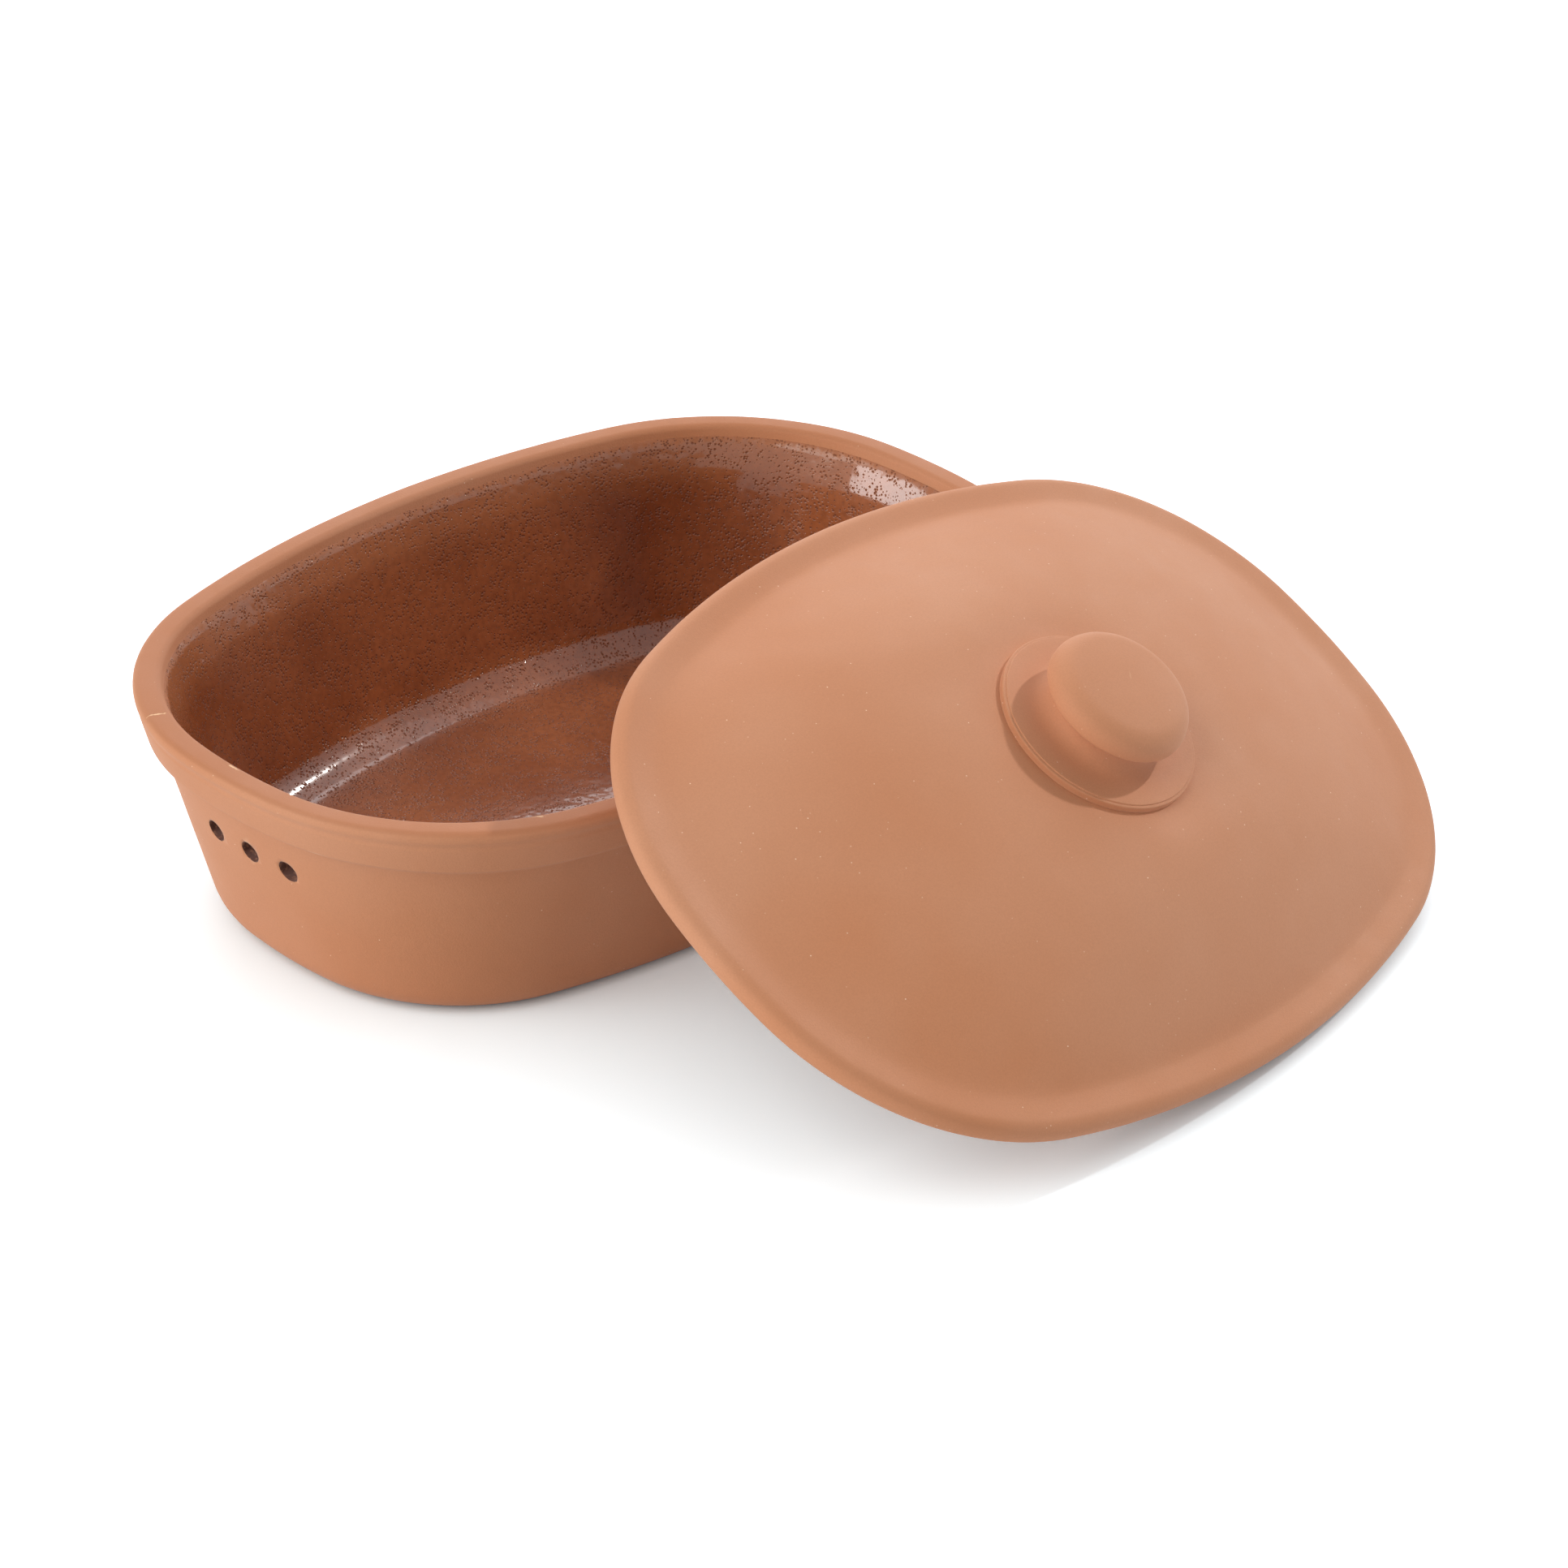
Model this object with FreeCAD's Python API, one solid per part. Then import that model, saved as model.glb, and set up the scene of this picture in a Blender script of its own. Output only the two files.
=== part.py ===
import FreeCAD, Part
import math
import os

from FreeCAD import Placement, Rotation, Vector

# Bread crock: a low terracotta pot with a glazed inside, and its domed lid with a knob.
# The lid is off the pot. Its low edge stands on the floor and its locating flange leans on the rim.
# Millimetres. The origin is the middle of the pot's flat base, +X along the pot, +Z up.

# Outline of the pot's rim: two long sides and two ends, joined by four corner arcs tangent to both
pot_length = 370.0
pot_width = 255.0
side_radius = 400.0
end_radius = 228.0
end_sweep = 11.8

# Pot, heights from the floor. An inset is measured inwards from the rim's outline.
pot_height = 93.5
rim_width = 10.0
rim_edge_radius = 3.0
collar_height = 18.0
collar_lean = 15.0
collar_step = 4.9
collar_step_drop = 2.6
collar_lip_radius = 2.0
collar_root_radius = 3.5
base_inset = 28.5
base_radius = 14.0
wall_base_thickness = 9.4
floor_thickness = 9.0
floor_radius = 20.0

# Glaze inside the pot
glaze_thickness = 0.8
glaze_below_rim = 4.5

# Vents through both ends of the pot
vent_diameter = 8.5
vent_count = 3
vent_pitch = 20.0
vent_below_rim = 37.0

# Lid, heights from the top of its flat margin. Its insets are measured from its own edge.
lid_overhang = 2.5
lid_edge_thickness = 9.8
lid_top_radius = 5.0
lid_under_radius = 4.0
margin_width = 12.0
dome_rise = 34.3
dome_fullness = 1.6
dome_foot_softness = 0.035
dome_sections = 12
dome_crowding = 1.5
land_radius = 49.0
under_land_radius = 43.5
lid_wall = 11.0

# Flange under the lid, which drops inside the rim when the crock is closed
flange_clearance = 5.0
flange_thickness = 8.0
flange_depth = 14.2
flange_root_radius = 2.5

# Knob: a disc on the land on top of the dome, a ledge on the disc, a neck and a domed cap.
# It is put on by hand and stands a little off the middle.
knob_off_along = 0.6
knob_off_across = -0.8
knob_disc_radius = 39.4
knob_disc_height = 2.6
knob_disc_edge = 0.45
knob_ledge = 1.2
knob_ledge_height = 0.5
knob_ledge_edge = 0.2
knob_ledge_root = 0.2
knob_ledge_fall = 0.6
knob_neck_radius = 21.5
knob_neck_height = 11.2
knob_neck_root = 8.0
knob_neck_top = 1.8
knob_cap_radius = 28.0
knob_cap_thickness = 9.6
knob_cap_lip = 1.1
knob_cap_edge = 8.6
knob_crown_rise = 2.6
knob_crown_land = 11.0
knob_crown_radius = 75.0

# Lid's place beside the pot: the middle of its margin, and how it is turned
lid_along = 49.0
lid_from_side = 60.5
lid_turn = 6.2
lid_roll = 4.2
rim_clearance = 0.3
least_lean = 8.0
most_lean = 60.0
lean_halvings = 24

UP = Vector(0, 0, 1)
HERE = Vector(0, 0, 0)
HALF_TURN = 180
TINY = 1e-6


def polar(length, degrees):
    angle = math.radians(degrees)
    return Vector(length * math.cos(angle), length * math.sin(angle), 0)


def outline_arcs():
    """The rim's eight arcs, anticlockwise from the +X end: centre, radius, first angle, sweep."""
    side_centre = Vector(0, pot_width / 2 - side_radius, 0)
    end_centre = Vector(pot_length / 2 - end_radius, 0, 0)
    # The corner is the arc that leaves the end where its sweep ends and runs on into the side
    leaving = polar(1, end_sweep / 2)
    across = end_centre - side_centre
    larger = side_radius - end_radius
    reach = (across.dot(across) - larger ** 2) / (2 * (larger - across.dot(leaving)))
    corner_radius = end_radius - reach
    corner_centre = end_centre + leaving * reach
    corner_back = Vector(-corner_centre.x, corner_centre.y, 0)
    to_side = corner_centre - side_centre
    side_start = math.degrees(math.atan2(to_side.y, to_side.x))
    corner_sweep = side_start - end_sweep / 2
    side_sweep = HALF_TURN - 2 * side_start
    arcs = []
    for turn, flip in ((0, 1), (HALF_TURN, -1)):
        arcs.append((end_centre * flip, end_radius, turn - end_sweep / 2, end_sweep))
        arcs.append((corner_centre * flip, corner_radius, turn + end_sweep / 2, corner_sweep))
        arcs.append((side_centre * flip, side_radius, turn + side_start, side_sweep))
        arcs.append((corner_back * flip, corner_radius, turn + HALF_TURN - side_start, corner_sweep))
    return arcs


def section(inset, height, share=1.0, circle_radius=0.0):
    """Closed wire level with the outline. A share under 1 draws it in towards a circle."""
    edges = []
    for centre, radius, first, sweep in outline_arcs():
        middle = centre * share + UP * height
        reach = share * (radius - inset) + (1 - share) * circle_radius
        points = [middle + polar(reach, first + sweep * step / 2) for step in range(3)]
        edges.append(Part.Arc(*points).toShape())
    return Part.Wire(edges)


def rounding_reaches(points, radii):
    """How far each corner's rounding runs along its two lines, limited by the lines' lengths."""
    reaches = [0.0] * len(points)
    for index in range(1, len(points) - 1):
        back = points[index - 1] - points[index]
        on = points[index + 1] - points[index]
        reaches[index] = radii[index] / math.tan(back.getAngle(on) / 2)
    for index in range(len(points) - 1):
        line = (points[index + 1] - points[index]).Length
        wanted = reaches[index] + reaches[index + 1]
        if wanted > line:
            reaches[index] *= line / wanted
            reaches[index + 1] *= line / wanted
    return reaches


def rounded_edges(corners, place):
    """Chain of lines and arcs through corners (across, height, radius), rounded and then placed."""
    points = [Vector(across, height, 0) for across, height, _ in corners]
    reaches = rounding_reaches(points, [radius for _, _, radius in corners])
    edges = []
    last = points[0]
    for before, here, after, reach in zip(points, points[1:], points[2:], reaches[1:]):
        back = (before - here).normalize()
        on = (after - here).normalize()
        start = here + back * reach
        end = here + on * reach
        if (start - last).Length > TINY:
            edges.append(Part.LineSegment(place(last), place(start)).toShape())
        if reach > TINY:
            half = back.getAngle(on) / 2
            middle = here + (back + on).normalize() * (reach / math.cos(half) - reach * math.tan(half))
            edges.append(Part.Arc(place(start), place(middle), place(end)).toShape())
        last = end
    if (points[-1] - last).Length > TINY:
        edges.append(Part.LineSegment(place(last), place(points[-1])).toShape())
    return edges


def swept_faces(corners):
    """The profile of corners (inset, height, radius) carried round the outline's eight arcs."""
    faces = []
    for centre, radius, first, sweep in outline_arcs():
        for edge in rounded_edges(corners, lambda p: Vector(radius - p.x, 0, p.y)):
            face = edge.revolve(HERE, UP, sweep)
            face.rotate(HERE, UP, first)
            face.translate(centre)
            faces.append(face)
    return faces


def closed_solid(faces):
    """Solid from faces that meet edge to edge all round."""
    shell = Part.makeCompound(faces)
    shell.sewShape()
    solid = Part.Solid(Part.Shell(shell.Faces))
    if solid.Volume < 0:
        solid.reverse()
    return solid


def turned(corners):
    """Solid of revolution about Z from corners (radius, height, rounding), both ends on the axis."""
    edges = rounded_edges(corners, lambda p: Vector(p.x, 0, p.y))
    return closed_solid([edge.revolve(HERE, UP, 2 * HALF_TURN) for edge in edges])


def collar_corners():
    """Outside of the collar: the rim's corner, its lip, and where its underside meets the wall."""
    lean = math.radians(collar_lean)
    # The rim's corner stands out so that its rounding reaches the outline
    flare = rim_edge_radius / math.tan(math.pi / 4 - lean / 2) - rim_edge_radius
    lip = pot_height - collar_height
    lip_inset = collar_height * math.tan(lean) - flare
    return [
        (-flare, pot_height, rim_edge_radius),
        (lip_inset, lip, collar_lip_radius),
        (lip_inset + collar_step, lip - collar_step_drop, collar_root_radius),
    ]


def wall_line(height):
    """Inset of the pot's outer wall at a height, on the straight line from collar to base."""
    root_inset, root_height, _ = collar_corners()[-1]
    return base_inset + (root_inset - base_inset) * height / root_height


def inner_corners():
    """Inside of the pot, the rim's inner edge and the floor's corner: inset, height, radius."""
    floor_corner = wall_line(floor_thickness) + wall_base_thickness
    return [
        (rim_width, pot_height, rim_edge_radius),
        (floor_corner, floor_thickness, floor_radius),
    ]


def pot_core_inset():
    """An inset on the flat of the floor, past both of its roundings."""
    return inner_corners()[-1][0] + floor_radius


def vents():
    """Rods along X through both ends of the pot."""
    rods = []
    for index in range(vent_count):
        y = (index - (vent_count - 1) / 2) * vent_pitch
        start = Vector(-pot_length / 2, y, pot_height - vent_below_rim)
        rods.append(Part.makeCylinder(vent_diameter / 2, pot_length, start, Vector(1, 0, 0)))
    return Part.makeCompound(rods)


def pot():
    core = pot_core_inset()
    profile = [
        (core, floor_thickness, 0),
        *inner_corners()[::-1],
        *collar_corners(),
        (base_inset, 0, base_radius),
        (core, 0, 0),
    ]
    floors = [Part.Face(section(core, height)) for height in (0, floor_thickness)]
    return closed_solid(swept_faces(profile) + floors).cut(vents())


def glaze():
    """Coat on the inside, from the glaze line down the wall and over the floor."""
    rim, corner = [Vector(*point[:2], 0) for point in inner_corners()]
    line = corner - rim
    slope = line.Length / abs(line.y)
    core = pot_core_inset()
    # The coat starts on the straight of the wall, under the rounding of the rim
    start = rim + line * (glaze_below_rim / abs(line.y))
    top = floor_thickness + glaze_thickness
    profile = [
        (core, floor_thickness, 0),
        (corner.x, floor_thickness, floor_radius),
        (start.x, start.y, 0),
        (start.x + glaze_thickness * slope, start.y, 0),
        (corner.x + glaze_thickness * (slope - line.x / abs(line.y)), top, floor_radius - glaze_thickness),
        (core, top, 0),
    ]
    floors = [Part.Face(section(core, height)) for height in (floor_thickness, top)]
    return closed_solid(swept_faces(profile) + floors).cut(vents())


def dome_share(inward):
    """How much of its rise a dome has, from 0 at its foot to 1 at its land: soft foot, full crown."""
    full = math.sqrt(1 + dome_foot_softness ** 2) - dome_foot_softness
    soft = (math.sqrt(inward ** 2 + dome_foot_softness ** 2) - dome_foot_softness) / full
    return 1 - (1 - soft) ** dome_fullness


def dome_faces(inset, foot, top, circle_radius):
    """A dome from the outline at one inset and height up to a circular land, with the land itself."""
    wires = []
    for step in range(dome_sections + 1):
        inward = (step / dome_sections) ** dome_crowding
        height = foot + (top - foot) * dome_share(inward)
        wires.append(section(inset, height, 1 - inward, circle_radius))
    return Part.makeLoft(wires, False, False).Faces + [Part.Face(wires[-1])]


def flange_insets():
    """Outer and inner face of the flange, as insets from the pot's outline."""
    outer = rim_width + flange_clearance
    return outer, outer + flange_thickness


def lid():
    outer, inner = flange_insets()
    foot = -lid_edge_thickness - flange_depth
    round_foot = flange_thickness / 2
    margin = margin_width - lid_overhang
    # The dome's underside starts where the lid's wall is full under the outer surface
    inward = (inner - margin) / (pot_width / 2 - margin - land_radius)
    under = dome_rise * dome_share(inward) - lid_wall
    profile = [
        (margin, 0, 0),
        (-lid_overhang, 0, lid_top_radius),
        (-lid_overhang, -lid_edge_thickness, lid_under_radius),
        (outer, -lid_edge_thickness, flange_root_radius),
        (outer, foot, round_foot),
        (inner, foot, round_foot),
        (inner, under, 0),
    ]
    outside = dome_faces(margin, 0, dome_rise, land_radius)
    inside = dome_faces(inner, under, dome_rise - lid_wall, under_land_radius)
    return closed_solid(swept_faces(profile) + outside + inside)


def knob():
    ledge_radius = knob_disc_radius - knob_ledge
    ledge_top = knob_disc_height + knob_ledge_height
    cap_bottom = knob_disc_height + knob_neck_height
    cap_top = cap_bottom + knob_cap_thickness
    corners = [
        (0, 0, 0),
        (knob_disc_radius, 0, 0),
        (knob_disc_radius, knob_disc_height, knob_disc_edge),
        (ledge_radius, knob_disc_height, knob_ledge_root),
        (ledge_radius, ledge_top, knob_ledge_edge),
        (knob_neck_radius, ledge_top + knob_ledge_fall, knob_neck_root),
        (knob_neck_radius, cap_bottom, knob_neck_top),
        (knob_cap_radius, cap_bottom, knob_cap_lip),
        (knob_cap_radius, cap_top, knob_cap_edge),
        (knob_crown_land, cap_top + knob_crown_rise, knob_crown_radius),
        (0, cap_top + knob_crown_rise, 0),
    ]
    piece = turned(corners)
    piece.translate(Vector(knob_off_along, knob_off_across, dome_rise))
    return piece


def lid_turned(lean):
    """How the lid is turned when it leans back by this many degrees."""
    turn = Rotation(UP, lid_turn)
    roll = Rotation(Vector(0, 1, 0), lid_roll)
    return turn.multiply(roll).multiply(Rotation(Vector(1, 0, 0), lean))


def foot_line():
    """Centre line of the flange's round foot, in the lid's own frame."""
    radius = flange_thickness / 2
    return section(flange_insets()[0] + radius, radius - lid_edge_thickness - flange_depth)


def lid_place(lean):
    """The lid's placement with its edge or its flange down on the floor, whichever is lower."""
    edge = section(lid_under_radius - lid_overhang, lid_under_radius - lid_edge_thickness)
    lows = []
    for line, radius in ((edge, lid_under_radius), (foot_line(), flange_thickness / 2)):
        line.Placement = Placement(HERE, lid_turned(lean))
        lows.append(line.optimalBoundingBox(False, False).ZMin - radius)
    middle = Vector(lid_along, -pot_width / 2 - lid_from_side, -min(lows))
    return Placement(middle, lid_turned(lean))


def rim_gap(lean):
    """Gap between the flange's round foot and the rim's outer edge, less than 0 if it is under."""
    rim = section(rim_edge_radius, pot_height - rim_edge_radius)
    foot = foot_line()
    foot.Placement = lid_place(lean)
    distance, nearest, _ = rim.distToShape(foot)
    on_rim, on_foot = nearest[0]
    return math.copysign(distance, on_foot.z - on_rim.z) - rim_edge_radius - flange_thickness / 2


def lean_on_rim():
    """The angle at which the flange comes to rest on the rim, found by halving."""
    low, high = least_lean, most_lean
    for _ in range(lean_halvings):
        middle = (low + high) / 2
        if rim_gap(middle) > rim_clearance:
            high = middle
        else:
            low = middle
    return high


def main():
    os.makedirs("parts", exist_ok=True)
    lean = lean_on_rim()
    place = lid_place(lean)
    print("lid leans %.3f degrees, middle at %s" % (lean, place.Base))
    pieces = {"pot": pot(), "inner_glaze": glaze(), "lid": lid(), "lid_knob": knob()}
    for name in ("lid", "lid_knob"):
        pieces[name].Placement = place.multiply(pieces[name].Placement)
    for name, shape in pieces.items():
        print(name, shape.isValid(), len(shape.Solids), round(shape.Volume))
        shape.exportStep("parts/%s.step" % name)


main()
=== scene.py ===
import math

import bmesh
import bpy
from mathutils import Matrix, Vector


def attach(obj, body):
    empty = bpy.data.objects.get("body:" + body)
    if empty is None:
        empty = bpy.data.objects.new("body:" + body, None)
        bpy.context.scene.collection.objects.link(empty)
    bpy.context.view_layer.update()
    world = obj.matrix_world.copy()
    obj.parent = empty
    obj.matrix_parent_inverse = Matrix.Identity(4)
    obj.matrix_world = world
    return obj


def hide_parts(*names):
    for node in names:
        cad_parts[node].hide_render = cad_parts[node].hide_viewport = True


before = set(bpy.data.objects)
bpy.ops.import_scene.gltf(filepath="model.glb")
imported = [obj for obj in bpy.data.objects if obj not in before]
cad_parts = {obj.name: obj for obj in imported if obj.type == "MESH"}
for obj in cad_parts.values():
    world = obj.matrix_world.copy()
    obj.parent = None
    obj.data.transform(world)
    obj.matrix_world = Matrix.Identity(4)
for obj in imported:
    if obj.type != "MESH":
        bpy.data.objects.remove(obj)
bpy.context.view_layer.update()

# Camera
# A long lens looks down on the crock from its vented end, with the leaning lid on the right.
camera_azimuth = math.radians(-45.59)
camera_elevation = math.radians(30.07)
camera_roll = math.radians(1.19)
camera_distance = 1.8975
camera_target = Vector((-0.01284, -0.11394, 0.070))
camera_focal_pixels = 6387.17
photo_side_pixels = 1932
sensor_width = 36.0

camera_back = Vector((
    math.sin(camera_azimuth) * math.cos(camera_elevation),
    -math.cos(camera_azimuth) * math.cos(camera_elevation),
    math.sin(camera_elevation),
))
camera_data = bpy.data.cameras.new("studio_camera")
camera_data.sensor_width = sensor_width
camera_data.lens = sensor_width * camera_focal_pixels / photo_side_pixels
camera = bpy.data.objects.new("studio_camera", camera_data)
bpy.context.scene.collection.objects.link(camera)
level_view = (-camera_back).to_track_quat("-Z", "Y").to_matrix()
camera_turn = (level_view @ Matrix.Rotation(camera_roll, 3, "Z")).to_4x4()
camera.matrix_world = Matrix.Translation(camera_target + camera_back * camera_distance) @ camera_turn
bpy.context.scene.camera = camera

# Pot
# The pot is pressed from red clay in a plaster mould, trimmed while leather-hard and fired bare.
# A collar overhangs the tapered wall under a flat rim, and three vents are drilled through each end.
pot_length = 0.370
pot_width = 0.255
side_radius = 0.400
end_radius = 0.228
end_sweep = math.radians(11.8)
outline_step = 0.003
pot_height = 0.0935
rim_width = 0.010
rim_edge_radius = 0.003
collar_height = 0.018
collar_lean = math.radians(15)
collar_step = 0.0049
collar_step_drop = 0.0026
collar_lip_radius = 0.002
collar_root_radius = 0.0035
tool_line_drop = 0.0060
tool_line_reach = 0.0018
tool_line_depth = 0.0004
tool_line_radius = 0.004
base_inset = 0.0285
base_radius = 0.014
wall_base_thickness = 0.0094
floor_thickness = 0.009
floor_radius = 0.020
clay_run = 0.0035
corner_segments = 7
floor_rings = 12
merge_distance = 1e-5


def outline_arcs():
    """The rim's arcs, anticlockwise from the middle of the +X end: centre, radius, sweep."""
    side_centre = Vector((0, pot_width / 2 - side_radius, 0))
    end_centre = Vector((pot_length / 2 - end_radius, 0, 0))
    leaving = Vector((math.cos(end_sweep / 2), math.sin(end_sweep / 2), 0))
    across = end_centre - side_centre
    larger = side_radius - end_radius
    reach = (across.length_squared - larger ** 2) / (2 * (larger - across.dot(leaving)))
    corner_radius = end_radius - reach
    corner_centre = end_centre + leaving * reach
    back_corner = Vector((-corner_centre.x, corner_centre.y, 0))
    to_side = corner_centre - side_centre
    side_start = math.atan2(to_side.y, to_side.x)
    corner_sweep = side_start - end_sweep / 2
    side_sweep = math.pi - 2 * side_start
    return [
        (end_centre, end_radius, end_sweep / 2),
        (corner_centre, corner_radius, corner_sweep),
        (side_centre, side_radius, side_sweep),
        (back_corner, corner_radius, corner_sweep),
        (-end_centre, end_radius, end_sweep),
        (-corner_centre, corner_radius, corner_sweep),
        (-side_centre, side_radius, side_sweep),
        (-back_corner, corner_radius, corner_sweep),
        (end_centre, end_radius, end_sweep / 2),
    ]


def select_points(piece, wanted):
    """In edit mode, selects the points that wanted says, with the edges between them."""
    mesh = bmesh.from_edit_mesh(piece.data)
    for part in (*mesh.faces, *mesh.edges):
        part.select = False
    for vertex in mesh.verts:
        vertex.select = bool(wanted(vertex))
    for edge in mesh.edges:
        if edge.verts[0].select and edge.verts[1].select:
            edge.select = True
    bmesh.update_edit_mesh(piece.data)


def select_edges(piece, wanted):
    """In edit mode, selects the edges that wanted says."""
    bpy.ops.mesh.select_all(action="DESELECT")
    mesh = bmesh.from_edit_mesh(piece.data)
    for edge in mesh.edges:
        if wanted(edge):
            edge.select = True
    bmesh.update_edit_mesh(piece.data)


def profile_chain(name, points):
    """A chain of edges extruded point by point from a single point. It is left in edit mode."""
    bpy.ops.object.select_all(action="DESELECT")
    bpy.ops.mesh.primitive_plane_add(size=clay_run)
    piece = bpy.context.object
    piece.name = name
    piece.data.name = name
    bpy.ops.object.mode_set(mode="EDIT")
    bpy.ops.mesh.select_mode(type="VERT")
    bpy.ops.mesh.select_all(action="SELECT")
    bpy.ops.mesh.merge(type="CENTER")
    bpy.ops.transform.translate(value=points[0])
    for here, there in zip(points, points[1:]):
        bpy.ops.mesh.extrude_region_move(TRANSFORM_OT_translate={"value": there - here})
    return piece


def round_corners(piece, points, radii):
    """Bevels each corner of a chain to its radius."""
    for before, here, after, radius in zip(points, points[1:], points[2:], radii[1:]):
        if radius > 0:
            half = (before - here).angle(after - here) / 2
            select_points(piece, lambda vertex: (vertex.co - here).length < merge_distance)
            bpy.ops.mesh.bevel(
                offset=radius / math.tan(half), offset_type="OFFSET",
                segments=corner_segments, affect="VERTICES",
            )


def edge_middle(edge):
    return (edge.verts[0].co + edge.verts[1].co) / 2


def divide_runs(piece, longest):
    """Divides each edge of a chain that is longer than longest."""
    edges = bmesh.from_edit_mesh(piece.data).edges
    runs = [(edge_middle(edge), edge.calc_length()) for edge in edges if edge.calc_length() > longest]
    for middle, length in runs:
        select_edges(piece, lambda edge: (edge_middle(edge) - middle).length < merge_distance)
        bpy.ops.mesh.subdivide(number_cuts=math.ceil(length / longest) - 1)


def sweep_round_outline(name, corners):
    """Carries a rounded profile (inset from the outline, height, radius) round the rim's outline."""
    points = [Vector((pot_length / 2 - inset, 0, height)) for inset, height, _ in corners]
    piece = profile_chain(name, points)
    round_corners(piece, points, [radius for _, _, radius in corners])
    divide_runs(piece, clay_run)
    bpy.ops.mesh.select_all(action="SELECT")
    for centre, radius, sweep in outline_arcs():
        steps = math.ceil(radius * sweep / outline_step)
        bpy.ops.mesh.spin(steps=steps, angle=-sweep, center=centre, axis=(0, 0, 1))
    bpy.ops.mesh.select_all(action="SELECT")
    bpy.ops.mesh.remove_doubles(threshold=merge_distance)
    return piece


def select_rim(piece, height):
    """Selects the open loop at a height."""
    select_points(
        piece, lambda vertex: vertex.is_boundary and abs(vertex.co.z - height) < merge_distance
    )


def close_loop(piece, height, rings):
    """Closes the open loop at a height with a flat face, in rings round a pole."""
    select_rim(piece, height)
    for ring in range(rings, 1, -1):
        bpy.ops.mesh.extrude_region_move()
        closer = (ring - 1) / ring
        bpy.ops.transform.resize(value=(closer, closer, 1), center_override=(0, 0, height))
    bpy.ops.mesh.extrude_region_move()
    bpy.ops.mesh.merge(type="CENTER")


def finish_shape(piece):
    """Turns the faces outwards, shades them smooth and leaves edit mode."""
    bpy.ops.mesh.select_all(action="SELECT")
    bpy.ops.mesh.normals_make_consistent(inside=False)
    bpy.ops.object.mode_set(mode="OBJECT")
    bpy.ops.object.shade_smooth_by_angle(angle=crease_angle)


def make_uneven(piece, name, wave, depth):
    """Swells and dips the surface as hand work does, by depth in all over lengths of about wave."""
    texture = bpy.data.textures.new(name, "CLOUDS")
    texture.noise_scale = wave
    texture.noise_depth = 1
    modifier = piece.modifiers.new(name, "DISPLACE")
    modifier.texture = texture
    modifier.texture_coords = "LOCAL"
    modifier.strength = depth
    bpy.ops.object.modifier_apply(modifier=modifier.name)


crease_angle = math.radians(32)
collar_flare = rim_edge_radius / math.tan(math.pi / 4 - collar_lean / 2) - rim_edge_radius
lip_height = pot_height - collar_height
lip_inset = collar_height * math.tan(collar_lean) - collar_flare
root_inset = lip_inset + collar_step
root_height = lip_height - collar_step_drop


def wall_inset(height):
    """Inset of the pot's outer wall at a height, between the collar's root and the base."""
    return base_inset + (root_inset - base_inset) * height / root_height


def collar_inset(drop):
    """Inset of the collar's face at a drop below the rim."""
    return -collar_flare + (lip_inset + collar_flare) * drop / collar_height


floor_corner_inset = wall_inset(floor_thickness) + wall_base_thickness
core_inset = floor_corner_inset + floor_radius
tool_line = [
    (collar_inset(drop) + depth, pot_height - drop, tool_line_radius)
    for drop, depth in (
        (tool_line_drop - tool_line_reach, 0),
        (tool_line_drop, tool_line_depth),
        (tool_line_drop + tool_line_reach, 0),
    )
]
pot = sweep_round_outline("pot_body", [
    (core_inset, floor_thickness, 0),
    (floor_corner_inset, floor_thickness, floor_radius),
    (rim_width, pot_height, rim_edge_radius),
    (-collar_flare, pot_height, rim_edge_radius),
    *tool_line,
    (lip_inset, lip_height, collar_lip_radius),
    (root_inset, root_height, collar_root_radius),
    (base_inset, 0, base_radius),
    (core_inset, 0, 0),
])
for level in (floor_thickness, 0):
    close_loop(pot, level, floor_rings)
finish_shape(pot)
make_uneven(pot, "pressing_waves", wave=0.11, depth=0.0007)
make_uneven(pot, "sponged_skin", wave=0.022, depth=0.00012)

vent_radius = 0.00425
vent_count = 3
vent_pitch = 0.020
vent_below_rim = 0.037
vent_sides = 40
vent_border = 0.0003


def vent_rods():
    """Rods along X through both ends of the pot, joined into one cutter."""
    bpy.ops.object.select_all(action="DESELECT")
    rods = []
    for index in range(vent_count):
        bpy.ops.mesh.primitive_cylinder_add(
            vertices=vent_sides, radius=vent_radius, depth=pot_length, rotation=(0, math.pi / 2, 0),
            location=(0, (index - (vent_count - 1) / 2) * vent_pitch, pot_height - vent_below_rim),
        )
        rods.append(bpy.context.object)
    for rod in rods:
        rod.select_set(True)
    bpy.ops.object.join()
    return bpy.context.object


def drill_vents(piece):
    """Cuts the vents through both ends of a piece."""
    rods = vent_rods()
    bpy.context.view_layer.objects.active = piece
    modifier = piece.modifiers.new("vents", "BOOLEAN")
    modifier.operation = "DIFFERENCE"
    modifier.solver = "EXACT"
    modifier.object = rods
    bpy.ops.object.modifier_apply(modifier=modifier.name)
    bpy.data.objects.remove(rods)


drill_vents(pot)


def add_node(tree, kind, **values):
    """Adds a shader node and sets its properties, and its inputs given by name with spaces as _."""
    node = tree.nodes.new(kind)
    for name, value in values.items():
        if hasattr(node, name):
            setattr(node, name, value)
        else:
            node.inputs[name.replace("_", " ")].default_value = value
    return node


def map_range(tree, source, low, high, to_low=0.0, to_high=1.0):
    """A clamped map of source from low..high to to_low..to_high."""
    node = add_node(
        tree, "ShaderNodeMapRange", From_Min=low, From_Max=high, To_Min=to_low, To_Max=to_high
    )
    tree.links.new(source, node.inputs["Value"])
    return node.outputs["Result"]


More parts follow.
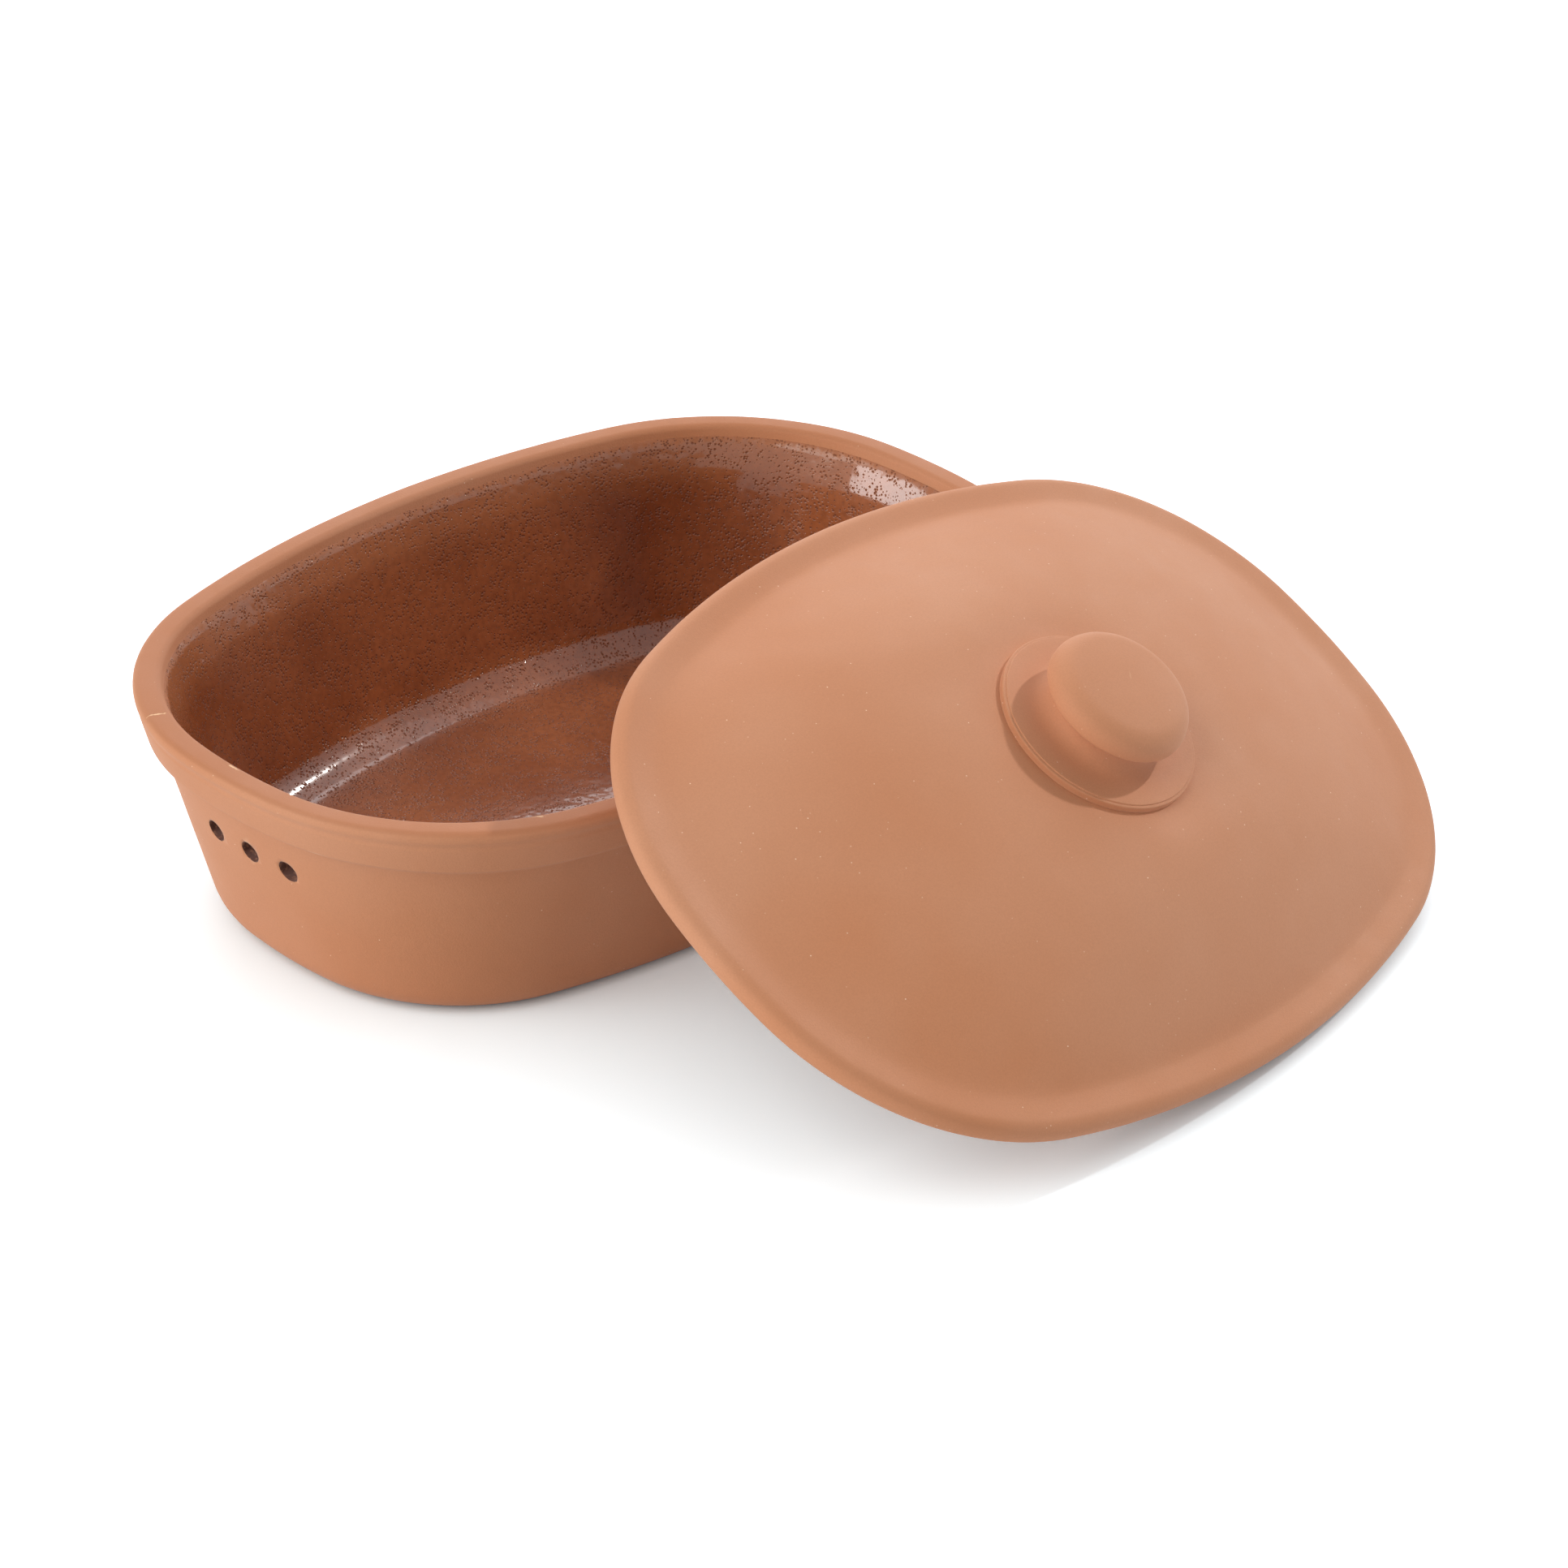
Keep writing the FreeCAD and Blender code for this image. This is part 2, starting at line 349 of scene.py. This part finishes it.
def mix_colour(tree, share, first, second, blend="MIX"):
    """Mixes two colours, each a socket or a plain colour, by a share that is a socket or a number."""
    node = add_node(tree, "ShaderNodeMix", data_type="RGBA", blend_type=blend)
    for socket, value in ((node.inputs[0], share), (node.inputs[6], first), (node.inputs[7], second)):
        if isinstance(value, bpy.types.NodeSocket):
            tree.links.new(value, socket)
        else:
            socket.default_value = value
    return node.outputs[2]


def combine(tree, operation, first, second):
    """A maths node on two values, each a socket or a number."""
    node = add_node(tree, "ShaderNodeMath", operation=operation)
    for socket, value in zip(node.inputs, (first, second)):
        if isinstance(value, bpy.types.NodeSocket):
            tree.links.new(value, socket)
        else:
            socket.default_value = value
    return node.outputs[0]


def noise(tree, vector, scale, detail=2.0, roughness=0.5):
    """Cloudy noise from 0 to 1."""
    node = add_node(tree, "ShaderNodeTexNoise", Scale=scale, Detail=detail, Roughness=roughness)
    tree.links.new(vector, node.inputs["Vector"])
    return node.outputs["Fac"]


clay_body = (0.630, 0.262, 0.125, 1)
clay_blush = (0.685, 0.320, 0.178, 1)
clay_pale = (0.820, 0.520, 0.330, 1)
grain_brown = (0.30, 0.11, 0.05, 1)
grit_pale = (0.95, 0.70, 0.52, 1)
blush_scale = 9
mottle_scale = 70
grain_scale = 1500
grit_scale = 520
grit_patch_scale = 22


def make_fired_clay():
    """Node group for bare fired clay: blushes, mottling, grain, pale grit, and paler edges that are
    partly rubbed clay and partly a painted highlight.
    """
    tree = bpy.data.node_groups.new("fired_clay", "ShaderNodeTree")
    for name, kind, value in (
        ("Vector", "NodeSocketVector", (0, 0, 0)),
        ("Body", "NodeSocketColor", clay_body),
        ("Blush", "NodeSocketColor", clay_blush),
        ("Pale", "NodeSocketColor", clay_pale),
        ("Edge", "NodeSocketFloat", 0),
        ("Grit", "NodeSocketFloat", 0.5),
    ):
        socket = tree.interface.new_socket(name=name, in_out="INPUT", socket_type=kind)
        socket.default_value = value
    for name, kind in (
        ("Colour", "NodeSocketColor"),
        ("Roughness", "NodeSocketFloat"),
        ("Height", "NodeSocketFloat"),
    ):
        tree.interface.new_socket(name=name, in_out="OUTPUT", socket_type=kind)
    given = tree.nodes.new("NodeGroupInput").outputs
    result = tree.nodes.new("NodeGroupOutput").inputs
    vector = given["Vector"]
    blush = map_range(tree, noise(tree, vector, scale=blush_scale, detail=3), 0.36, 0.64)
    colour = mix_colour(tree, blush, given["Body"], given["Blush"])
    mottle = noise(tree, vector, scale=mottle_scale, detail=5, roughness=0.6)
    colour = mix_colour(tree, map_range(tree, mottle, 0.3, 0.7, 0.0, 0.22), colour, given["Blush"])
    grain = noise(tree, vector, scale=grain_scale, detail=2)
    colour = mix_colour(tree, map_range(tree, grain, 0.35, 0.75, 0.0, 0.10), colour, grain_brown)
    grit_cells = add_node(tree, "ShaderNodeTexVoronoi", Scale=grit_scale)
    tree.links.new(vector, grit_cells.inputs["Vector"])
    grit_pick = add_node(tree, "ShaderNodeSeparateColor")
    tree.links.new(grit_cells.outputs["Color"], grit_pick.inputs["Color"])
    grit_dot = map_range(tree, grit_cells.outputs["Distance"], 0.09, 0.16, 1.0, 0.0)
    grit_cloud = noise(tree, vector, scale=grit_patch_scale, detail=2)
    grit_patch = map_range(tree, grit_cloud, 0.40, 0.64, 0.995, 0.92)
    grit_share = combine(tree, "SUBTRACT", grit_patch, combine(tree, "MULTIPLY", given["Grit"], 0.03))
    grit_here = combine(tree, "GREATER_THAN", grit_pick.outputs["Red"], grit_share)
    grit_spot = combine(tree, "MULTIPLY", grit_dot, grit_here)
    grit = combine(tree, "MULTIPLY", grit_spot, grit_pick.outputs["Green"])
    colour = mix_colour(tree, grit, colour, grit_pale)
    # Sharp edges turn paler: partly rubbed clay, partly a painted highlight line along them.
    rubbed_and_highlit = combine(tree, "MULTIPLY", given["Edge"], map_range(tree, mottle, 0.35, 0.6, 0.4, 1.0))
    colour = mix_colour(tree, rubbed_and_highlit, colour, given["Pale"])
    tree.links.new(colour, result["Colour"])
    tree.links.new(map_range(tree, mottle, 0.3, 0.7, 0.62, 0.74), result["Roughness"])
    height = combine(tree, "ADD", grain, combine(tree, "MULTIPLY", mottle, 1.5))
    tree.links.new(combine(tree, "SUBTRACT", height, grit_here), result["Height"])
    return tree


fired_clay = make_fired_clay()


def clay_material(name, grit):
    """A material of bare clay, with more or less grit."""
    material = bpy.data.materials.new(name)
    material.use_nodes = True
    tree = material.node_tree
    shader = tree.nodes["Principled BSDF"]
    place = add_node(tree, "ShaderNodeTexCoord")
    clay = add_node(tree, "ShaderNodeGroup", node_tree=fired_clay)
    clay.inputs["Grit"].default_value = grit
    tree.links.new(place.outputs["Object"], clay.inputs["Vector"])
    # Pointiness picks out sharp edges for pale rubbed clay and a painted highlight.
    sharp_edge_node = add_node(tree, "ShaderNodeNewGeometry")
    edge = map_range(tree, sharp_edge_node.outputs["Pointiness"], 0.53, 0.62, 0.0, 0.5)
    tree.links.new(edge, clay.inputs["Edge"])
    tree.links.new(clay.outputs["Colour"], shader.inputs["Base Color"])
    tree.links.new(clay.outputs["Roughness"], shader.inputs["Roughness"])
    bump = add_node(tree, "ShaderNodeBump", Strength=0.35, Distance=0.00025)
    tree.links.new(clay.outputs["Height"], bump.inputs["Height"])
    tree.links.new(bump.outputs["Normal"], shader.inputs["Normal"])
    shader.inputs["Specular IOR Level"].default_value = 0.35
    shader.inputs["Sheen Weight"].default_value = 0.08
    shader.inputs["Sheen Roughness"].default_value = 0.5
    return material


def clay_overlay(material, mask, colour):
    """Lays a colour over a clay material where the mask is 1."""
    tree = material.node_tree
    socket = tree.nodes["Principled BSDF"].inputs["Base Color"]
    tree.links.new(mix_colour(tree, mask, socket.links[0].from_socket, colour), socket)


def vent_shade_mask(tree, place):
    """1 inside the vents, with a soft ragged border round them: where the vents get painted shade."""
    split = add_node(tree, "ShaderNodeSeparateXYZ")
    tree.links.new(place, split.inputs[0])
    across = combine(tree, "PINGPONG", split.outputs["Y"], vent_pitch / 2)
    up = combine(tree, "SUBTRACT", split.outputs["Z"], pot_height - vent_below_rim)
    across_squared = combine(tree, "POWER", across, 2.0)
    up_squared = combine(tree, "MULTIPLY", up, up)
    reach = combine(tree, "SQRT", combine(tree, "ADD", across_squared, up_squared), 0.0)
    ragged = map_range(tree, noise(tree, place, scale=700), 0.0, 1.0, -vent_border, vent_border)
    ragged_reach = combine(tree, "ADD", reach, ragged)
    near = map_range(tree, ragged_reach, vent_radius, vent_radius + vent_border, 1.0, 0.0)
    off_middle = combine(tree, "ABSOLUTE", split.outputs["Y"], 0.0)
    middle = combine(tree, "LESS_THAN", off_middle, vent_pitch * vent_count / 2)
    return combine(tree, "MULTIPLY", near, middle)


def scuff_mask(tree, place, middle, turn, reach):
    """1 inside a ragged long mark: its middle, its turn about Z and its half sizes."""
    mapping = add_node(tree, "ShaderNodeMapping", vector_type="TEXTURE")
    for name, value in (("Location", middle), ("Rotation", (0, 0, turn)), ("Scale", reach)):
        mapping.inputs[name].default_value = value
    tree.links.new(place, mapping.inputs["Vector"])
    length = add_node(tree, "ShaderNodeVectorMath", operation="LENGTH")
    tree.links.new(mapping.outputs["Vector"], length.inputs[0])
    ragged = map_range(tree, noise(tree, place, scale=900, detail=3), 0.3, 0.7, -0.35, 0.35)
    return map_range(tree, combine(tree, "ADD", length.outputs["Value"], ragged), 0.55, 0.95, 1.0, 0.0)


rim_brown = (0.500, 0.190, 0.085, 1)
rim_brown_depth = 0.0016
rim_brown_share = 0.7
# Painted shade for the inside of the vents.
vent_painted_shade = (0.130, 0.050, 0.034, 1)
scuff_colour = (0.93, 0.60, 0.36, 1)
pot_scuffs = (
    (Vector((-0.17285, 0.04990, pot_height)), math.radians(-26.9), (0.0048, 0.00055, 0.003)),
    (Vector((-0.12120, -0.09910, pot_height - 0.0003)), math.radians(-47), (0.0028, 0.0007, 0.0016)),
    (Vector((-0.17680, 0.00110, pot_height)), math.radians(88), (0.0035, 0.0006, 0.0015)),
)
pot_clay = clay_material("pot_clay", grit=0.3)
pot_tree = pot_clay.node_tree
pot_place = pot_tree.nodes["Texture Coordinate"].outputs["Object"]
pot_split = add_node(pot_tree, "ShaderNodeSeparateXYZ")
pot_tree.links.new(pot_place, pot_split.inputs[0])
# The top of the rim is laid over with a darker brown.
rim_mask = map_range(
    pot_tree, pot_split.outputs["Z"], pot_height - rim_brown_depth, pot_height, 0.0, rim_brown_share
)
clay_overlay(pot_clay, rim_mask, rim_brown)
for middle, turn, reach in pot_scuffs:
    clay_overlay(pot_clay, scuff_mask(pot_tree, pot_place, middle, turn, reach), scuff_colour)
# The bores of the vents are painted dark brown: painted shade inside them.
clay_overlay(pot_clay, vent_shade_mask(pot_tree, pot_place), vent_painted_shade)
pot.data.materials.append(pot_clay)
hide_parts("pot")
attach(pot, "pot")

# Glaze
# A clear brown glaze is poured into the pot, swirled and tipped out, and melts to a glossy coat.
# It ends in a soft line under the rim, and fine pits in it break up what it reflects; the pits also
# get painted shade.
glaze_thickness = 0.0008
glaze_below_rim = 0.0045
inner_slope = (floor_corner_inset - rim_width) / (pot_height - floor_thickness)
glaze_start = (rim_width + glaze_below_rim * inner_slope, pot_height - glaze_below_rim)
glaze_bead_drop = 0.0175
glaze_bead = 0.0011
glaze_bead_radius = 0.030
glaze_floor = floor_thickness + glaze_thickness
glaze = sweep_round_outline("glaze_coat", [
    (core_inset, floor_thickness, 0),
    (floor_corner_inset, floor_thickness, floor_radius),
    (glaze_start[0], glaze_start[1], 0),
    (glaze_start[0] + glaze_thickness, glaze_start[1] - glaze_thickness, 0),
    (
        rim_width + glaze_bead_drop * inner_slope + glaze_thickness + glaze_bead,
        pot_height - glaze_bead_drop,
        glaze_bead_radius,
    ),
    (floor_corner_inset + glaze_thickness, glaze_floor, floor_radius - glaze_thickness),
    (core_inset, glaze_floor, 0),
])
for level in (floor_thickness, glaze_floor):
    close_loop(glaze, level, floor_rings)
finish_shape(glaze)
make_uneven(glaze, "pooled_glaze", wave=0.11, depth=0.0007)
drill_vents(glaze)

glaze_brown = (0.230, 0.058, 0.018, 1)
glaze_amber = (0.400, 0.125, 0.045, 1)
glaze_fleck_brown = (0.11, 0.030, 0.014, 1)
glaze_pit_shade = (0.100, 0.025, 0.012, 1)
glaze_thin_depth = 0.022
glaze_full_depth = 0.001
glaze_gloss_depth = 0.0025
glaze_matt_depth = 0.0005
glaze_ragged = 0.0016
glaze_gloss = 0.14
glaze_matt = 0.60
glaze_pit_matt = 0.55
glaze_coat_weight = 0.5
glaze_pit_scale = 760
glaze_top = glaze_start[1]
brown_glaze = bpy.data.materials.new("brown_glaze")
brown_glaze.use_nodes = True
glaze_tree = brown_glaze.node_tree
glaze_shader = glaze_tree.nodes["Principled BSDF"]
glaze_place = add_node(glaze_tree, "ShaderNodeTexCoord").outputs["Object"]
glaze_pool = map_range(glaze_tree, noise(glaze_tree, glaze_place, scale=14, detail=4), 0.35, 0.65)
fleck_noise = noise(glaze_tree, glaze_place, scale=420, detail=3)
glaze_fleck = map_range(glaze_tree, fleck_noise, 0.4, 0.7, 0.0, 0.3)
glaze_colour = mix_colour(glaze_tree, glaze_pool, glaze_brown, glaze_amber)
glaze_colour = mix_colour(glaze_tree, glaze_fleck, glaze_colour, glaze_fleck_brown)
glaze_height = add_node(glaze_tree, "ShaderNodeSeparateXYZ")
glaze_tree.links.new(glaze_place, glaze_height.inputs[0])
edge_noise = noise(glaze_tree, glaze_place, scale=330, detail=3)
glaze_edge = map_range(glaze_tree, edge_noise, 0.3, 0.7, -glaze_ragged, glaze_ragged)
glaze_level = combine(glaze_tree, "ADD", glaze_height.outputs["Z"], glaze_edge)
glaze_thin = map_range(
    glaze_tree, glaze_level, glaze_top - glaze_thin_depth, glaze_top - glaze_full_depth, 0.0, 0.45
)
glaze_ends = map_range(
    glaze_tree, glaze_level, glaze_top - glaze_gloss_depth, glaze_top - glaze_matt_depth
)
glaze_colour = mix_colour(glaze_tree, glaze_thin, glaze_colour, clay_body)
glaze_pits = add_node(glaze_tree, "ShaderNodeTexVoronoi", Scale=glaze_pit_scale)
glaze_tree.links.new(glaze_place, glaze_pits.inputs["Vector"])
pit_noise = noise(glaze_tree, glaze_place, scale=160, detail=2)
pit_patch = map_range(glaze_tree, pit_noise, 0.38, 0.56, 0.20, 0.46)
pit_share = combine(glaze_tree, "DIVIDE", glaze_pits.outputs["Distance"], pit_patch)
pit_level = combine(glaze_tree, "MINIMUM", pit_share, 1.0)
# The middles of the pits are painted darker brown: painted shade in the pits.
pit_painted_shade = map_range(glaze_tree, pit_share, 0.5, 1.0, 0.6, 0.0)
pit_gloss = map_range(glaze_tree, pit_share, 0.6, 1.0)
glaze_colour = mix_colour(glaze_tree, pit_painted_shade, glaze_colour, glaze_pit_shade)
glaze_tree.links.new(glaze_colour, glaze_shader.inputs["Base Color"])
ripple = noise(glaze_tree, glaze_place, scale=200, detail=1)
pit_depth = combine(glaze_tree, "ADD", pit_level, combine(glaze_tree, "MULTIPLY", ripple, 0.35))
glaze_bump = add_node(glaze_tree, "ShaderNodeBump", Strength=0.8, Distance=0.0003)
glaze_tree.links.new(pit_depth, glaze_bump.inputs["Height"])
glaze_tree.links.new(glaze_bump.outputs["Normal"], glaze_shader.inputs["Normal"])
line_matt = map_range(glaze_tree, glaze_ends, 0.0, 1.0, glaze_gloss, glaze_matt)
pit_matt = map_range(glaze_tree, pit_gloss, 0.0, 1.0, glaze_pit_matt, 0.0)
glaze_roughness = combine(glaze_tree, "MAXIMUM", line_matt, pit_matt)
glaze_tree.links.new(glaze_roughness, glaze_shader.inputs["Roughness"])
line_coat = map_range(glaze_tree, glaze_ends, 0.0, 1.0, glaze_coat_weight, 0.0)
glaze_coat = combine(glaze_tree, "MULTIPLY", line_coat, pit_gloss)
glaze_tree.links.new(glaze_coat, glaze_shader.inputs["Coat Weight"])
glaze_shader.inputs["IOR"].default_value = 1.5
glaze_shader.inputs["Specular IOR Level"].default_value = 0.35
glaze_shader.inputs["Coat Roughness"].default_value = 0.04
glaze_tree.links.new(glaze_bump.outputs["Normal"], glaze_shader.inputs["Coat Normal"])
glaze.data.materials.append(brown_glaze)
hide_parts("inner_glaze")
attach(glaze, "pot")

# Lid
# The lid is pressed over a hump mould: a rounded edge, a flat margin and a broad dome with a round
# land on top. Underneath it is hollow inside a flange, which drops into the rim. It leans on the rim.
lid_overhang = 0.0025
lid_edge_thickness = 0.0098
lid_top_radius = 0.005
lid_under_radius = 0.004
margin_width = 0.012
dome_rise = 0.0343
dome_fullness = 1.6
dome_foot_softness = 0.035
land_radius = 0.049
under_land_radius = 0.0435
lid_wall = 0.011
flange_clearance = 0.005
flange_thickness = 0.008
flange_depth = 0.0142
flange_root_radius = 0.0025
dome_rings = 40
land_rings = 8
lid_lean = math.radians(29.939)
lid_roll = math.radians(4.2)
lid_turn = math.radians(6.2)
lid_middle = Vector((0.049, -0.188, 0.07733))


def dome_share(inward):
    """How much of its rise a dome has, from 0 at its foot to 1 at its land: soft foot, full crown."""
    full = math.sqrt(1 + dome_foot_softness ** 2) - dome_foot_softness
    soft = (math.sqrt(inward ** 2 + dome_foot_softness ** 2) - dome_foot_softness) / full
    return 1 - max(1 - soft, 0) ** dome_fullness


def outline_heading(point, inset):
    """Which way the outline faces at a point that lies inside it by inset, as an angle."""
    first = 0.0
    nearest = (1.0, 0.0)
    for centre, radius, sweep in outline_arcs():
        arm = point - centre
        heading = math.atan2(arm.y, arm.x) % (2 * math.pi)
        away = abs(math.hypot(arm.x, arm.y) - (radius - inset))
        away += max(first - heading, heading - first - sweep, 0) if heading > merge_distance else 0
        nearest = min(nearest, (away, heading))
        first += sweep
    return nearest[1]


def raise_dome(piece, inset, foot, top, circle_radius):
    """Draws the open loop at the foot in to a circle at the top, in rings that follow the dome."""
    select_rim(piece, foot)
    bpy.ops.mesh.extrude_region_move(TRANSFORM_OT_translate={"value": (0, 0, top - foot)})
    mesh = bmesh.from_edit_mesh(piece.data)
    for vertex in mesh.verts:
        if vertex.select:
            heading = outline_heading(Vector((vertex.co.x, vertex.co.y, 0)), inset)
            outward = Vector((math.cos(heading), math.sin(heading), 0))
            vertex.co = outward * circle_radius + Vector((0, 0, top))
    bmesh.update_edit_mesh(piece.data)
    select_edges(piece, lambda edge: {
        round(vertex.co.z / merge_distance) for vertex in edge.verts
    } == {round(foot / merge_distance), round(top / merge_distance)})
    bpy.ops.mesh.subdivide(number_cuts=dome_rings - 1)
    mesh = bmesh.from_edit_mesh(piece.data)
    for vertex in mesh.verts:
        if vertex.select:
            vertex.co.z = foot + (top - foot) * dome_share((vertex.co.z - foot) / (top - foot))
    bmesh.update_edit_mesh(piece.data)


flange_outer = rim_width + flange_clearance
flange_inner = flange_outer + flange_thickness
flange_foot = -lid_edge_thickness - flange_depth
margin_inset = margin_width - lid_overhang
under_inward = (flange_inner - margin_inset) / (pot_width / 2 - margin_inset - land_radius)
under_foot = dome_rise * dome_share(under_inward) - lid_wall
lid = sweep_round_outline("lid_body", [
    (margin_inset, 0, 0),
    (-lid_overhang, 0, lid_top_radius),
    (-lid_overhang, -lid_edge_thickness, lid_under_radius),
    (flange_outer, -lid_edge_thickness, flange_root_radius),
    (flange_outer, flange_foot, flange_thickness / 2),
    (flange_inner, flange_foot, flange_thickness / 2),
    (flange_inner, under_foot, 0),
])
raise_dome(lid, margin_inset, 0, dome_rise, land_radius)
raise_dome(lid, flange_inner, under_foot, dome_rise - lid_wall, under_land_radius)
for level in (dome_rise, dome_rise - lid_wall):
    close_loop(lid, level, land_rings)
finish_shape(lid)
make_uneven(lid, "lid_waves", wave=0.12, depth=0.0008)
make_uneven(lid, "lid_skin", wave=0.022, depth=0.00012)


def lean_on_rim(piece):
    """Turns a piece of the lid as it leans on the pot, and applies its place to the mesh."""
    bpy.ops.object.select_all(action="DESELECT")
    piece.select_set(True)
    bpy.context.view_layer.objects.active = piece
    piece.rotation_euler = (lid_lean, lid_roll, lid_turn)
    piece.location = lid_middle
    bpy.ops.object.transform_apply(location=True, rotation=True, scale=True)


lean_on_rim(lid)
lid_clay = clay_material("lid_clay", grit=1.0)
lid.data.materials.append(lid_clay)
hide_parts("lid")
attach(lid, "lid")

# Knob
# The knob is thrown by itself and luted to the land with slip: a disc with a small ledge,
# a neck that sweeps up out of it and a low domed cap to lift by.
knob_off_along = 0.0006
knob_off_across = -0.0008
knob_disc_radius = 0.0394
knob_disc_height = 0.0026
knob_disc_edge = 0.00045
knob_ledge = 0.0012
knob_ledge_height = 0.0005
knob_ledge_edge = 0.0002
knob_ledge_root = 0.0002
knob_ledge_fall = 0.0006
knob_neck_radius = 0.0215
knob_neck_height = 0.0112
knob_neck_root = 0.008
knob_neck_top = 0.0018
knob_cap_radius = 0.028
knob_cap_thickness = 0.0096
knob_cap_lip = 0.0011
knob_cap_edge = 0.0086
knob_crown_rise = 0.0026
knob_crown_land = 0.011
knob_crown_radius = 0.075
knob_steps = 128
knob_run = 0.002

ledge_radius = knob_disc_radius - knob_ledge
ledge_top = knob_disc_height + knob_ledge_height
cap_bottom = knob_disc_height + knob_neck_height
cap_top = cap_bottom + knob_cap_thickness
knob_corners = [
    (0, 0, 0),
    (knob_disc_radius, 0, 0),
    (knob_disc_radius, knob_disc_height, knob_disc_edge),
    (ledge_radius, knob_disc_height, knob_ledge_root),
    (ledge_radius, ledge_top, knob_ledge_edge),
    (knob_neck_radius, ledge_top + knob_ledge_fall, knob_neck_root),
    (knob_neck_radius, cap_bottom, knob_neck_top),
    (knob_cap_radius, cap_bottom, knob_cap_lip),
    (knob_cap_radius, cap_top, knob_cap_edge),
    (knob_crown_land, cap_top + knob_crown_rise, knob_crown_radius),
    (0, cap_top + knob_crown_rise, 0),
]
knob_points = [Vector((across, 0, dome_rise + height)) for across, height, _ in knob_corners]
knob = profile_chain("lid_knob_body", knob_points)
round_corners(knob, knob_points, [radius for _, _, radius in knob_corners])
divide_runs(knob, knob_run)
bpy.ops.mesh.select_all(action="SELECT")
bpy.ops.mesh.spin(steps=knob_steps, angle=2 * math.pi, center=(0, 0, 0), axis=(0, 0, 1))
bpy.ops.mesh.select_all(action="SELECT")
bpy.ops.mesh.remove_doubles(threshold=merge_distance)
bpy.ops.transform.translate(value=(knob_off_along, knob_off_across, 0))
finish_shape(knob)
make_uneven(knob, "thrown_waves", wave=0.05, depth=0.0004)
lean_on_rim(knob)
knob_clay = clay_material("knob_clay", grit=1.0)
knob.data.materials.append(knob_clay)
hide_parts("lid_knob")
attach(knob, "lid")

# Studio
# A white floor that fades into a white surround. A small key light stands high on the right behind
# the crock with two broad soft lights beside it, and two more broad lights stand on the left.
floor_size = 12.0
floor_colour = (0.86, 0.88, 0.90, 1)
floor_lift = 0.72
floor_seen = (0.74, 0.87, 0.95, 1)
shadow_reach = 0.14
shadow_samples = 12
surround_level = 0.24
soft_angle = 50
cool_white = (0.93, 0.96, 1.0)
warm_white = (1.0, 0.96, 0.89)
studio_lights = (
    ("key", -14.5, 37.9, 2.5, 1.0, (1.0, 0.96, 0.92)),
    ("soft_right", 0, 32, soft_angle, 0.36, cool_white),
    ("soft_back", 45, 32, soft_angle, 1.00, cool_white),
    ("soft_left", 173, 40, soft_angle, 1.37, warm_white),
    ("low_left", 149, 8, 22, 0.75, (1.0, 1.0, 1.0)),
)

bpy.ops.object.select_all(action="DESELECT")
bpy.ops.mesh.primitive_plane_add(size=floor_size)
floor = bpy.context.object
floor.name = "studio_floor"
floor_material = bpy.data.materials.new("studio_floor")
floor_material.use_nodes = True
floor_tree = floor_material.node_tree
floor_shader = floor_tree.nodes["Principled BSDF"]
floor_shader.inputs["Roughness"].default_value = 1.0
floor_shader.inputs["Specular IOR Level"].default_value = 0.0
floor_shader.inputs["Emission Color"].default_value = (1, 1, 1, 1)


def seen_directly(tree):
    """1 for rays from the camera and rays seen in gloss or through glass, otherwise 0."""
    light_path = add_node(tree, "ShaderNodeLightPath")
    camera_or_gloss = combine(
        tree, "MAXIMUM", light_path.outputs["Is Camera Ray"], light_path.outputs["Is Glossy Ray"]
    )
    return combine(tree, "MAXIMUM", camera_or_gloss, light_path.outputs["Is Transmission Ray"])


# The floor's lift for camera and gloss rays falls where the crock closes it in, which paints a soft
# shadow round it.
floor_sky = add_node(
    floor_tree, "ShaderNodeAmbientOcclusion", samples=shadow_samples, Distance=shadow_reach
)
floor_open = map_range(floor_tree, floor_sky.outputs["AO"], 0.05, 0.75)
floor_direct = seen_directly(floor_tree)
open_lift = combine(floor_tree, "MULTIPLY", floor_open, floor_lift)
lift = combine(floor_tree, "MULTIPLY", floor_direct, open_lift)
floor_tree.links.new(lift, floor_shader.inputs["Emission Strength"])
floor_tree.links.new(
    mix_colour(floor_tree, floor_direct, floor_colour, floor_seen), floor_shader.inputs["Base Color"]
)
floor.data.materials.append(floor_material)

world = bpy.data.worlds.new("white_surround")
bpy.context.scene.world = world
world.use_nodes = True
world_tree = world.node_tree
surround = world_tree.nodes["Background"]
surround.inputs["Color"].default_value = (1, 1, 1, 1)
surround_seen = seen_directly(world_tree)
surround_strength = map_range(world_tree, surround_seen, 0.0, 1.0, surround_level, 1.0)
world_tree.links.new(surround_strength, surround.inputs["Strength"])

for name, azimuth, elevation, angle, level, colour in studio_lights:
    light_data = bpy.data.lights.new(name, "SUN")
    light_data.energy = level
    light_data.angle = math.radians(angle)
    light_data.color = colour
    light = bpy.data.objects.new(name, light_data)
    bpy.context.scene.collection.objects.link(light)
    light.rotation_euler = (0, math.radians(90 - elevation), math.radians(azimuth))

bpy.context.scene.view_settings.view_transform = "Standard"
